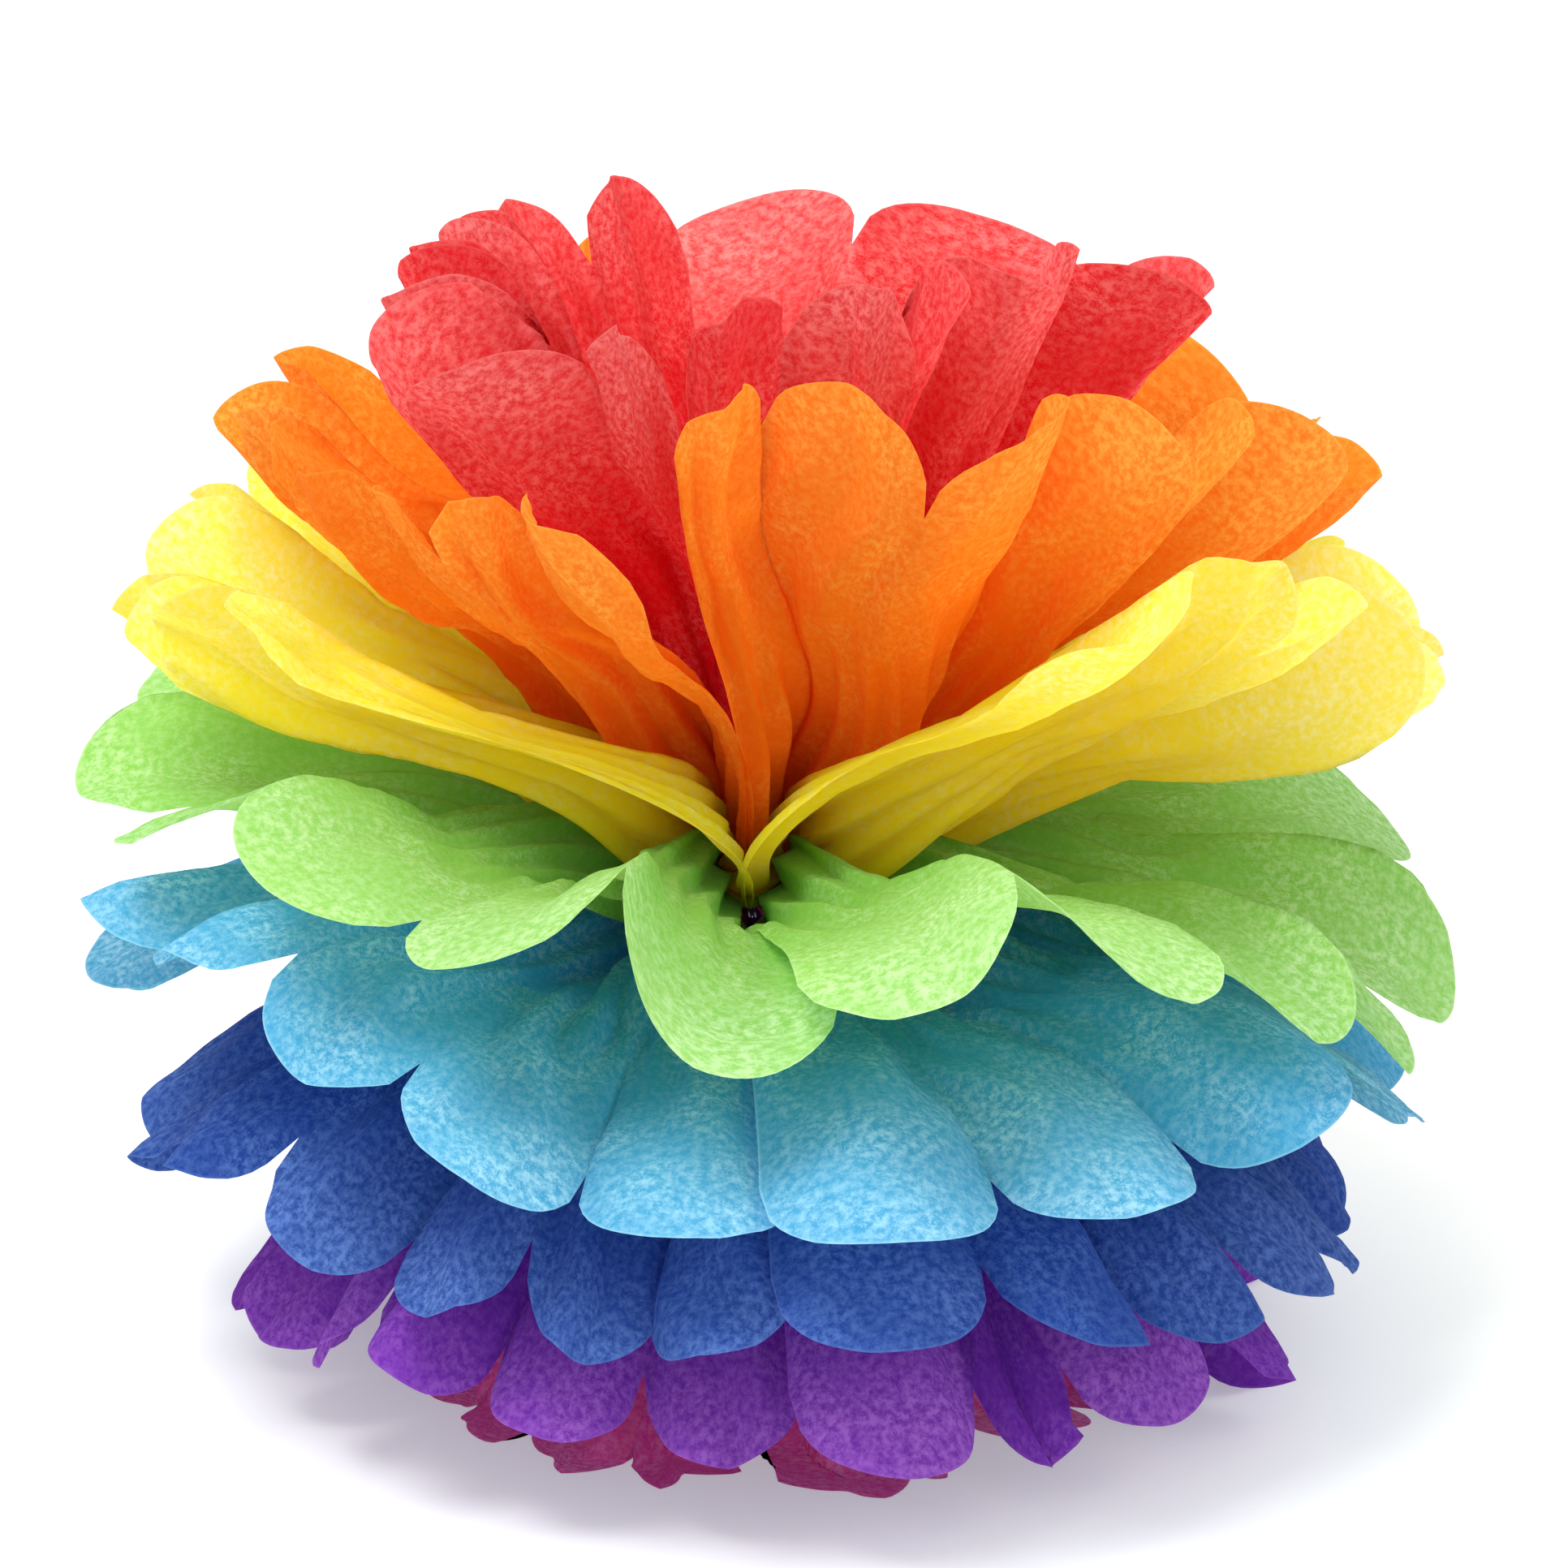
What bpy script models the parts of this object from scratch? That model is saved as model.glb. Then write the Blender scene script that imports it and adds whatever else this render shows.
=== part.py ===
"""Rainbow pom pom of tissue paper, standing on its lower petals.

Eight sheets of tissue in the colours of the rainbow lie on each other, are pleated
together like a fan, cut round at both ends and cinched at the middle with one thin wire.
Each side is then fanned out and the sheets are pulled apart, one after the other, so that
every panel between two pleats becomes a petal. Each sheet is one thin solid. A loop of
thread hangs from the wire, lies on the table and comes out under the petals on the right.

Units are metres. +Z is up, -Y is the front, and the origin is on the table, in the middle of
the petals' outline.
Angles are degrees: an azimuth is measured from +X towards +Y, a lift is measured from level.
"""
import math

import bmesh
import bpy
from mathutils import Vector

# The cut sheet: 250 mm along the pleats and ten panels of 35 mm across them
SHEET_LENGTH = 0.250
SHEET_WIDTH = 0.350
PANELS = 10
ROUND_DEPTH = 0.017
THICKNESS = 0.0002

# The tied waist; the wire sits a little left of the sheets' middle, and of the petals' outline too
WAIST_X = -0.0040
WAIST_Y = 0.0031
WAIST_HEIGHT = 0.090
WAIST_PITCH = 0.0020
WAIST_RELIEF = 0.0010
SHEET_STEP = 0.0013
TIE_SHIFT = 0.004

# How a side fans out from the tie, and where its pleats turn into petals
EDGE_AZIMUTH = 88.0
TIE_SPREAD = 0.60
FAN_REACH = 0.026
RISE_REACH = 0.016
PLEAT_REACH = 0.030
PETAL_START = 0.040
PETAL_END = 0.095
PAPER_FILL = 0.66
BULGE = 0.0045
DROOP_START = 0.080

# The table flattens the lowest tips, one sheet above the other
FLOOR_STEP = 0.0011

# Cells of the mesh: the rows' reach from the tie, and how finely a panel is cut where it is a petal
ROW_REACH = (0.0, 0.006, 0.016, 0.032, 0.060, 0.084, 0.103)
PETAL_ROW = 4
PETAL_COLUMNS = 4

# The wire goes round the waist from the middle of its underside, and both its ends are bent down
WIRE_RADIUS = 0.0003
WIRE_TURNS = 2
WIRE_PITCH = 0.0010
WIRE_CORNER = 0.0020
WIRE_CORNER_STEPS = 4
WIRE_TAIL = 0.005
CLEARANCE = 0.0003

# The hanging loop of thread: its strands start side by side under the wire and meet in a small knot
THREAD_RADIUS = 0.0002
THREAD_POINTS = 78
STRANDS_APART = 0.0018
KNOT_SWELL = 1.8
LOOP_OUT = ((-0.0055, 0.0019, 0.06), (-0.003, 0.0039, 0.032), (0.006, 0.0089, 0.01),
            (0.022, 0.0199, 0.0012), (0.041, 0.0334, 0), (0.0585, 0.0459, 0), (0.0705, 0.0499, 0),
            (0.0735, 0.0374, 0), (0.0675, 0.0184, 0))
LOOP_KNOT = (0.066, 0.0014, 0)
LOOP_BACK = ((0.0705, 0.0174, 0), (0.0765, 0.0374, 0), (0.073, 0.0529, 0), (0.0575, 0.0474, 0),
             (0.039, 0.0359, 0), (0.02, 0.0234, 0.0015), (0.004, 0.0119, 0.011),
             (-0.005, 0.0064, 0.032), (-0.0065, 0.0049, 0.06))

WIRE_COLOUR = (0.55, 0.55, 0.55)
THREAD_COLOUR = (0.12, 0.08, 0.10)
PAPER_ROUGHNESS = 0.85
WIRE_ROUGHNESS = 0.35
THREAD_ROUGHNESS = 0.5

PANEL = SHEET_WIDTH / PANELS
NOTCH = SHEET_LENGTH / 2 - ROUND_DEPTH

# Each sheet, from the top: colour, lift at the front, right, back and left, and the droop of its tips
SHEETS = {
    "red_sheet": ((0.75, 0.01, 0.02), (57, 52, 58, 60), 0),
    "orange_sheet": ((0.95, 0.21, 0.01), (43, 36, 46, 47), -3),
    "yellow_sheet": ((0.93, 0.72, 0.02), (26, 20, 28, 31), -2),
    "green_sheet": ((0.27, 0.62, 0.10), (10, 3, 7, 14), 5),
    "sky_blue_sheet": ((0.10, 0.53, 0.80), (-8, -12, -9, -3), 5),
    "dark_blue_sheet": ((0.01, 0.07, 0.40), (-19, -26, -22, -20), 5),
    "purple_sheet": ((0.18, 0.02, 0.42), (-32, -38, -40, -37), 4),
    "pink_sheet": ((0.66, 0.04, 0.28), (-58, -58, -58, -60), 0),
}

# Where the folds of each side were pulled to, from the front to the back: azimuth and lift
FOLDS = {
    ("red_sheet", "right"): ((-100, 58), (-83, 63), (-64, 56), (-52, 67), (-36, 58), (-20, 63),
                             (-7, 50), (10, 55), (28, 46), (60, 60), (92, 54)),
    ("red_sheet", "left"): ((-103, 60), (-119, 61), (-146, 51), (-158, 67), (-172, 58), (-182, 68),
                            (-192, 60), (-207, 70), (-216, 64), (-246, 76), (-265, 60)),
    ("orange_sheet", "right"): ((-99, 47), (-88, 52), (-69, 42), (-48, 49), (-38, 36), (-20, 44),
                                (-4, 30), (6, 34), (22, 27), (50, 42), (80, 36)),
    ("orange_sheet", "left"): ((-102, 38), (-119, 44), (-126, 40), (-134, 47), (-151, 44), (-163, 52),
                               (-179, 46), (-188, 54), (-208, 48), (-234, 56), (-260, 50)),
    ("yellow_sheet", "right"): ((-62, 30), (-43, 34), (-32, 26), (-24, 29), (-14, 12), (-4, 19),
                                (4, 11), (18, 22), (34, 15), (58, 25), (82, 19)),
    ("yellow_sheet", "left"): ((-144, 29), (-150, 34), (-158, 24), (-170, 35), (-180, 28), (-190, 37),
                               (-202, 30), (-213, 36), (-228, 29), (-245, 35), (-264, 27)),
    ("green_sheet", "right"): ((-89, 3), (-84, 12), (-74, 3), (-61, 9), (-45, 3), (-29, 5),
                               (-13, -5), (3, 5), (21, 0), (42, 6), (64, 2)),
    ("green_sheet", "left"): ((-93, 2), (-107, 15), (-127, 12), (-144, 18), (-160, 12), (-176, 19),
                              (-192, 12), (-210, 18), (-228, 10), (-247, 14), (-266, 10)),
    ("sky_blue_sheet", "right"): ((-89, -7), (-69, -9), (-51, -8), (-33, -4), (-16, -13), (0, -19),
                                  (16, -14), (33, -10), (51, -9), (69, -11), (86, -9)),
    ("sky_blue_sheet", "left"): ((-86, -11), (-105, -12), (-121, -2), (-136, 4), (-149, 2), (-165, 2),
                                 (-178, -10), (-196, -6), (-218, -10), (-242, -7), (-266, -10)),
    ("dark_blue_sheet", "right"): ((-88, -15), (-69, -17), (-53, -22), (-38, -23), (-22, -25), (-8, -30),
                                   (8, -25), (24, -28), (44, -22), (66, -26), (88, -20)),
    ("dark_blue_sheet", "left"): ((-85, -19), (-99, -25), (-111, -18), (-126, -22), (-139, -14), (-156, -18),
                                  (-172, -25), (-190, -20), (-212, -25), (-238, -20), (-264, -24)),
    ("purple_sheet", "right"): ((-86, -28), (-66, -32), (-56, -31), (-37, -31), (-24, -40), (-6, -38),
                                (8, -46), (26, -35), (44, -41), (66, -38), (86, -45)),
    ("purple_sheet", "left"): ((-84, -32), (-102, -35), (-118, -32), (-130, -28), (-142, -35), (-158, -32),
                               (-172, -42), (-192, -45), (-214, -38), (-240, -46), (-264, -38)),
    ("pink_sheet", "right"): ((-87, -64), (-66, -54), (-50, -66), (-32, -54), (-16, -64), (0, -58),
                              (18, -64), (34, -47), (52, -64), (68, -54), (84, -64)),
    ("pink_sheet", "left"): ((-92, -62), (-110, -56), (-128, -66), (-144, -56), (-162, -66), (-180, -56),
                             (-198, -66), (-214, -56), (-230, -64), (-248, -56), (-264, -64)),
}


def smooth(value):
    """A value from 0 to 1 that starts and ends gently."""
    value = min(1.0, max(0.0, value))
    return value * value * (3 - 2 * value)


def direction(azimuth, lift):
    a = math.radians(azimuth)
    e = math.radians(lift)
    return Vector((math.cos(e) * math.cos(a), math.cos(e) * math.sin(a), math.sin(e)))


def above(azimuth, lift):
    """The direction that points off the upper side of a sheet."""
    return direction(azimuth, lift + 90)


def mean_lift(sheet, azimuth):
    """The sheet's lift round the pom pom, through its four given lifts."""
    front, right, back, left = SHEETS[sheet][1]
    a = math.radians(azimuth)
    level = (front + right + back + left) / 4
    oval = (right + left - front - back) / 4
    slope = (right - left) / 2 * math.cos(a) + (back - front) / 2 * math.sin(a)
    return level + slope + oval * math.cos(2 * a)


def pleat_relief(arc):
    """Half the height of a pleat whose folds lie an arc apart."""
    return math.sqrt(max(0.0, (PAPER_FILL * PANEL) ** 2 - arc ** 2)) / 2


def up_or_down(panel):
    """A panel's first fold is low and its second is high, or the other way round."""
    return 1 if panel % 2 else -1


def fold_place(sheet, side, across):
    """Azimuth and lift between the folds that were pulled to their places."""
    places = FOLDS[sheet, side]
    share = across / PANELS * (len(places) - 1)
    first = min(len(places) - 2, int(share))
    part = share - first
    near, far = places[first], places[first + 1]
    return near[0] + (far[0] - near[0]) * part, near[1] + (far[1] - near[1]) * part


def side_shift(side):
    """How much further from the tie this side's ends are."""
    return TIE_SHIFT if side == "right" else -TIE_SHIFT


def sheet_end(side, across):
    """Reach of the round cut end: a half ellipse on each panel."""
    part = across - math.floor(across)
    return NOTCH + side_shift(side) + ROUND_DEPTH * math.sqrt(max(0.0, 1 - (2 * part - 1) ** 2))


def sheet_point(sheet, side, across, reach):
    """A point of the sheet: across counts the folds from the front, reach is measured from the tie."""
    names = list(SHEETS)
    order = (len(names) - 1) / 2 - names.index(sheet)
    panel = min(PANELS - 1, int(across))
    part = across - panel
    tilt = up_or_down(panel) * (1 - 2 * part)
    start = Vector((0, (across - PANELS / 2) * WAIST_PITCH, order * SHEET_STEP + tilt * WAIST_RELIEF))

    # Near the tie the pleats of all the sheets lie in each other
    opening = TIE_SPREAD + (1 - TIE_SPREAD) * smooth(reach / FAN_REACH)
    azimuth = (2 * across / PANELS - 1) * EDGE_AZIMUTH * opening
    if side == "left":
        azimuth = 180 - azimuth
    lift = mean_lift(sheet, azimuth) * (1 - math.exp(-reach / RISE_REACH))
    arc = WAIST_PITCH + reach * math.radians(2 * EDGE_AZIMUTH / PANELS) * math.cos(math.radians(lift))
    height = (pleat_relief(arc) - WAIST_RELIEF) * smooth(reach / PLEAT_REACH)
    pleated = start + reach * direction(azimuth, lift) + height * tilt * above(azimuth, lift)

    # Further out each petal goes its own way
    own_azimuth, own_lift = fold_place(sheet, side, across)
    tip = max(0.0, reach - DROOP_START) / (SHEET_LENGTH / 2 - DROOP_START)
    own_lift -= SHEETS[sheet][2] * tip * tip
    outward = -1 if order > 0 else 1
    round_out = outward * BULGE * math.sin(math.pi * part) * reach / NOTCH
    petal = start + reach * direction(own_azimuth, own_lift) + round_out * above(own_azimuth, own_lift)

    petal_share = smooth((reach - PETAL_START) / (PETAL_END - PETAL_START))
    return Vector((WAIST_X, WAIST_Y, WAIST_HEIGHT)) + pleated.lerp(petal, petal_share)


# The pieces are made from here on
def plain(name, colour, roughness, metallic):
    """A material in one colour."""
    material = bpy.data.materials.new(name)
    material.use_nodes = True
    shader = material.node_tree.nodes["Principled BSDF"]
    shader.inputs["Base Color"].default_value = (*colour, 1)
    shader.inputs["Roughness"].default_value = roughness
    shader.inputs["Metallic"].default_value = metallic
    return material


def add_object(name, bm, material):
    """One named object from a finished bmesh, with its place in its mesh."""
    mesh = bpy.data.meshes.new(name)
    bm.to_mesh(mesh)
    bm.free()
    mesh.materials.append(material)
    made = bpy.data.objects.new(name, mesh)
    bpy.context.scene.collection.objects.link(made)
    return made


def floor_level(sheet):
    """The lowest height that the middle of a sheet may have: the sheets lie on each other there."""
    names = list(SHEETS)
    return THICKNESS / 2 + (len(names) - 1 - names.index(sheet)) * FLOOR_STEP


def row_reach(side, row, across):
    """Reach of a row of the mesh: the last row is the cut end, and the petals' rows go along with it."""
    if row == len(ROW_REACH):
        return sheet_end(side, across)
    return ROW_REACH[row] + (side_shift(side) if row >= PETAL_ROW else 0)


def make_sheet(name):
    """The flat sheet is a grid; each of its points is carried to where the pleats and petals lie."""
    rows = len(ROW_REACH)
    bm = bmesh.new()
    bmesh.ops.create_grid(bm, x_segments=2 * rows, y_segments=PANELS, size=1)
    rims = [edge for edge in bm.edges if all(abs(v.co.x) * rows > PETAL_ROW - 0.5 for v in edge.verts)
            and abs(edge.verts[0].co.x - edge.verts[1].co.x) * rows < 0.5]
    bmesh.ops.subdivide_edges(bm, edges=rims, cuts=PETAL_COLUMNS - 1, use_grid_fill=True)
    bmesh.ops.triangulate(bm, faces=bm.faces, quad_method="FIXED", ngon_method="EAR_CLIP")
    for vert in bm.verts:
        across = round((vert.co.y + 1) / 2 * PANELS * PETAL_COLUMNS) / PETAL_COLUMNS
        row = round(vert.co.x * rows)
        side = "left" if row < 0 else "right"
        vert.co = sheet_point(name, side, across, row_reach(side, abs(row), across))
        vert.co.z = max(vert.co.z, floor_level(name))
    sheet = add_object(name, bm, plain(name + "_tissue", SHEETS[name][0], PAPER_ROUGHNESS, 0.0))
    wall = sheet.modifiers.new("thickness", "SOLIDIFY")
    wall.thickness = THICKNESS
    wall.offset = 0
    wall.use_even_offset = False
    return sheet


def wire_half_size():
    """Half width and half height of the wire's turns: clear of all the pleats that they go round."""
    band = WIRE_TURNS * WIRE_PITCH / 2 + WIRE_RADIUS
    width = 0.0
    height = 0.0
    for name in SHEETS:
        for across in range(PANELS + 1):
            middle = sheet_point(name, "right", across, 0)
            beyond = sheet_point(name, "right", across, ROW_REACH[1])
            edge = middle.lerp(beyond, band / (beyond.x - middle.x))
            width = max(width, abs(edge.y - WAIST_Y))
            height = max(height, abs(edge.z - WAIST_HEIGHT))
    wall = THICKNESS / 2 + CLEARANCE + WIRE_RADIUS
    return width + wall, height + wall


def wire_points():
    """The wire's middle line: one tail up, the turns round the waist, and the other tail down."""
    half_width, half_height = wire_half_size()
    turn = [(0.0, -half_height)]
    for quarter in range(4):
        y_side = 1 if quarter in (0, 1) else -1
        z_side = 1 if quarter in (1, 2) else -1
        for step in range(WIRE_CORNER_STEPS + 1):
            angle = math.radians(90 * (quarter - 1 + step / WIRE_CORNER_STEPS))
            turn.append((y_side * (half_width - WIRE_CORNER) + WIRE_CORNER * math.cos(angle),
                         z_side * (half_height - WIRE_CORNER) + WIRE_CORNER * math.sin(angle)))
    line = turn * WIRE_TURNS + [turn[0]]
    start = -WIRE_TURNS * WIRE_PITCH / 2
    points = []
    for index, (y, z) in enumerate(line):
        x = start + WIRE_TURNS * WIRE_PITCH * index / (len(line) - 1)
        points.append(Vector((WAIST_X + x, WAIST_Y + y, WAIST_HEIGHT + z)))
    tail = Vector((0, 0, -WIRE_TAIL))
    return [points[0] + tail] + points + [points[-1] + tail]


def through(route, count, fineness=40):
    """Points of a smooth curve through a route's own points, at even steps along it."""
    ends = [2 * route[0] - route[1]] + route + [2 * route[-1] - route[-2]]
    fine = []
    for before, near, far, after in zip(ends, ends[1:], ends[2:], ends[3:]):
        for step in range(fineness):
            t = step / fineness
            fine.append((2 * near + (far - before) * t + (2 * before - 5 * near + 4 * far - after) * t ** 2
                         + (3 * near - before - 3 * far + after) * t ** 3) / 2)
    fine.append(route[-1])
    length = [0.0]
    for near, far in zip(fine, fine[1:]):
        length.append(length[-1] + (far - near).length)
    points = []
    at = 0
    for index in range(count):
        wanted = length[-1] * index / (count - 1)
        while at < len(fine) - 2 and length[at + 1] < wanted:
            at += 1
        share = (wanted - length[at]) / (length[at + 1] - length[at])
        points.append(fine[at].lerp(fine[at + 1], min(1.0, share)))
    return points


def thread_points():
    """The loop's middle line: down from the wire, out over the table to the knot, and back."""
    top = WAIST_HEIGHT - wire_half_size()[1] - WIRE_RADIUS - CLEARANCE
    route = [Vector((WAIST_X, WAIST_Y - STRANDS_APART / 2, top))]
    route += [Vector(place) for place in LOOP_OUT + (LOOP_KNOT,) + LOOP_BACK]
    route += [Vector((WAIST_X, WAIST_Y + STRANDS_APART / 2, top))]
    points = through(route, THREAD_POINTS)
    for point in points:
        point.z = max(point.z, THREAD_RADIUS)
    return points


def make_tube(name, points, radius, swell, material):
    """A round wire or thread along its middle line, thicker where a knot is."""
    curve = bpy.data.curves.new(name, "CURVE")
    curve.dimensions = "3D"
    curve.bevel_depth = radius
    curve.bevel_resolution = 2
    curve.use_fill_caps = True
    line = curve.splines.new("POLY")
    line.points.add(len(points) - 1)
    for index, point in enumerate(points):
        line.points[index].co = (*point, 1)
        line.points[index].radius = swell.get(index, 1)
    curve.materials.append(material)
    made = bpy.data.objects.new(name, curve)
    bpy.context.scene.collection.objects.link(made)
    return made


def main():
    for old in list(bpy.data.objects):
        bpy.data.objects.remove(old, do_unlink=True)
    for name in SHEETS:
        make_sheet(name)
    steel = plain("wire", WIRE_COLOUR, WIRE_ROUGHNESS, 1.0)
    make_tube("waist_wire", wire_points(), WIRE_RADIUS, {}, steel)
    line = thread_points()
    knot = min(range(len(line)), key=lambda index: (line[index] - Vector(LOOP_KNOT)).length)
    line[knot].z = THREAD_RADIUS * KNOT_SWELL
    yarn = plain("thread", THREAD_COLOUR, THREAD_ROUGHNESS, 0.0)
    make_tube("hanging_loop", line, THREAD_RADIUS, {knot: KNOT_SWELL}, yarn)


main()
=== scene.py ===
# %% [markdown]
# # A rainbow pom pom of tissue paper
#
# The real thing starts as eight thin sheets of tissue, one for each colour, laid on each other.
# They are pleated together like a fan, the ends of the pleats are cut round, a thin wire is tied
# round the middle, and then every sheet is pulled up or down from the stack, one after the other.
# Each stretch of paper between two pleats ends up as a petal.
#
# The solids of the part give the place of each sheet. This script makes the paper itself: its fine
# pleats, its crumples, its curled petals, and the way light shines through it.

# %% Load the frame
import math

import bmesh
import bpy
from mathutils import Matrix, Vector, noise


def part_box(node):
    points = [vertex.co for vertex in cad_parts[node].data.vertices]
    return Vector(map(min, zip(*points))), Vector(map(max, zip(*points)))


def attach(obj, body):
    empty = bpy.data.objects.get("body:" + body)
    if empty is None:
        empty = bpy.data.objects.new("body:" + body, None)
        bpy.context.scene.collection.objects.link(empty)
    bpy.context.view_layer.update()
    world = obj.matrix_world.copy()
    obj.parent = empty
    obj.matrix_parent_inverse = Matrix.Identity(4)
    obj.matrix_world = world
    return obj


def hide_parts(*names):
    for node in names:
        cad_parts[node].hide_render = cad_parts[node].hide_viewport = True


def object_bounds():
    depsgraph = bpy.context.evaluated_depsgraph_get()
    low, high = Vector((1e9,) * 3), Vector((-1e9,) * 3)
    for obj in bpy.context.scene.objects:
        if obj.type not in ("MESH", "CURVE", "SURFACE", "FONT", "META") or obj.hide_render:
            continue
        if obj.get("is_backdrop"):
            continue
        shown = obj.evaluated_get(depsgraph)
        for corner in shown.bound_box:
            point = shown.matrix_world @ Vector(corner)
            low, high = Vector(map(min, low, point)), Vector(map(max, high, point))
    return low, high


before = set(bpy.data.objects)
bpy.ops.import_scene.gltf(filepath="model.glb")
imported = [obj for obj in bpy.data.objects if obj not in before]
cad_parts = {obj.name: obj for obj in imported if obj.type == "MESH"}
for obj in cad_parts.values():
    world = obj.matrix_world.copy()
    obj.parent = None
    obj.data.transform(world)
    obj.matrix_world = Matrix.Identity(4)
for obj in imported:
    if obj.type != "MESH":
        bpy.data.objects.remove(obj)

CAD_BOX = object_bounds()
print("box of the solids:", CAD_BOX)

# %% [markdown]
# ## The camera
#
# The photograph looks down on the pom pom a little, from the front, with a long lens. A long lens
# keeps the petals at the front and at the back nearly the same size. The camera's place is given
# from the tied waist, because the waist is what the petals are measured from.

# %% Camera
waist_low, waist_high = (Vector(corner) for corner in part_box("waist_wire"))
WAIST_HEIGHT = 0.090
WAIST = Vector(((waist_low.x + waist_high.x) / 2, (waist_low.y + waist_high.y) / 2, WAIST_HEIGHT))
CAMERA_FROM_WAIST = Vector((0.0060, -0.9601, 0.2800))
CAMERA_DOWN = 15.5
LENS_MM = 127.8
SENSOR_MM = 36

camera = bpy.data.objects.new("camera", bpy.data.cameras.new("camera"))
camera.location = WAIST + CAMERA_FROM_WAIST
camera.rotation_euler = (math.radians(90 - CAMERA_DOWN), 0, 0)
camera.data.lens = LENS_MM
camera.data.sensor_width = SENSOR_MM
bpy.context.scene.collection.objects.link(camera)
bpy.context.scene.camera = camera
print("camera at", tuple(round(value, 4) for value in camera.location))

# %% [markdown]
# ## The hanging loop
#
# A thin thread is tied to the wire, so that the pom pom can be hung up. Standing on a table, the
# loop hangs down inside the lowest petals, lies on the table and peeps out at the right. A curve
# with a round bevel is the simplest way to make it: the route is a short list of places, and a
# smooth curve through them is what a soft thread does.

# %% Route of the loop
THREAD_RADIUS = 0.0002
STRANDS_APART = 0.0018
STEPS_PER_PLACE = 12
LOOP_OUT = ((-0.0055, 0.0019, 0.06), (-0.003, 0.0039, 0.032), (0.006, 0.0089, 0.01),
            (0.022, 0.0199, 0.0012), (0.041, 0.0334, 0), (0.0585, 0.0459, 0), (0.0705, 0.0499, 0),
            (0.0735, 0.0374, 0), (0.0675, 0.0184, 0))
LOOP_KNOT = (0.066, 0.0014, 0)
LOOP_BACK = ((0.0705, 0.0174, 0), (0.0765, 0.0374, 0), (0.073, 0.0529, 0), (0.0575, 0.0474, 0),
             (0.039, 0.0359, 0), (0.02, 0.0234, 0.0015), (0.004, 0.0119, 0.011),
             (-0.005, 0.0064, 0.032), (-0.0065, 0.0049, 0.06))


def through(route, steps):
    """A smooth curve through the places of a route."""
    ends = [2 * route[0] - route[1]] + route + [2 * route[-1] - route[-2]]
    points = []
    for before, near, far, after in zip(ends, ends[1:], ends[2:], ends[3:]):
        for step in range(steps):
            t = step / steps
            points.append((2 * near + (far - before) * t
                           + (2 * before - 5 * near + 4 * far - after) * t ** 2
                           + (3 * near - before - 3 * far + after) * t ** 3) / 2)
    return points + [route[-1]]


loop_top = Vector(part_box("hanging_loop")[1]).z
loop_start = Vector((WAIST.x, WAIST.y - STRANDS_APART / 2, loop_top))
loop_end = Vector((WAIST.x, WAIST.y + STRANDS_APART / 2, loop_top))
loop_route = [Vector(place) for place in LOOP_OUT + (LOOP_KNOT,) + LOOP_BACK]
loop_points = through([loop_start] + loop_route + [loop_end], STEPS_PER_PLACE)
for point in loop_points:
    point.z = max(point.z, THREAD_RADIUS)

# %% [markdown]
# ## How the pleated sheets open
#
# Every point of a flat sheet has two numbers. "Across" counts the folds from the front edge, and
# "reach" is how far the point is from the wire. Close to the wire all the sheets lie in the same
# deep pleats. Further out each sheet has been pulled to its own height, and each fold has its own
# place, because fingers did it. The places of the folds are the ones that the solids use: pairs of
# an azimuth, measured from the right side towards the back, and a lift above level.

# %% The cut sheet
SHEET_LENGTH = 0.250
SHEET_WIDTH = 0.350
PANELS = 10
PANEL = SHEET_WIDTH / PANELS
ROUND_DEPTH = 0.017
NOTCH = SHEET_LENGTH / 2 - ROUND_DEPTH
TIE_SHIFT = 0.004
CUT_AREA = SHEET_LENGTH * SHEET_WIDTH - 2 * PANELS * PANEL * ROUND_DEPTH * (1 - math.pi / 4)
print("one sheet, cut round at both ends:", round(CUT_AREA * 1e6), "square mm")

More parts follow.
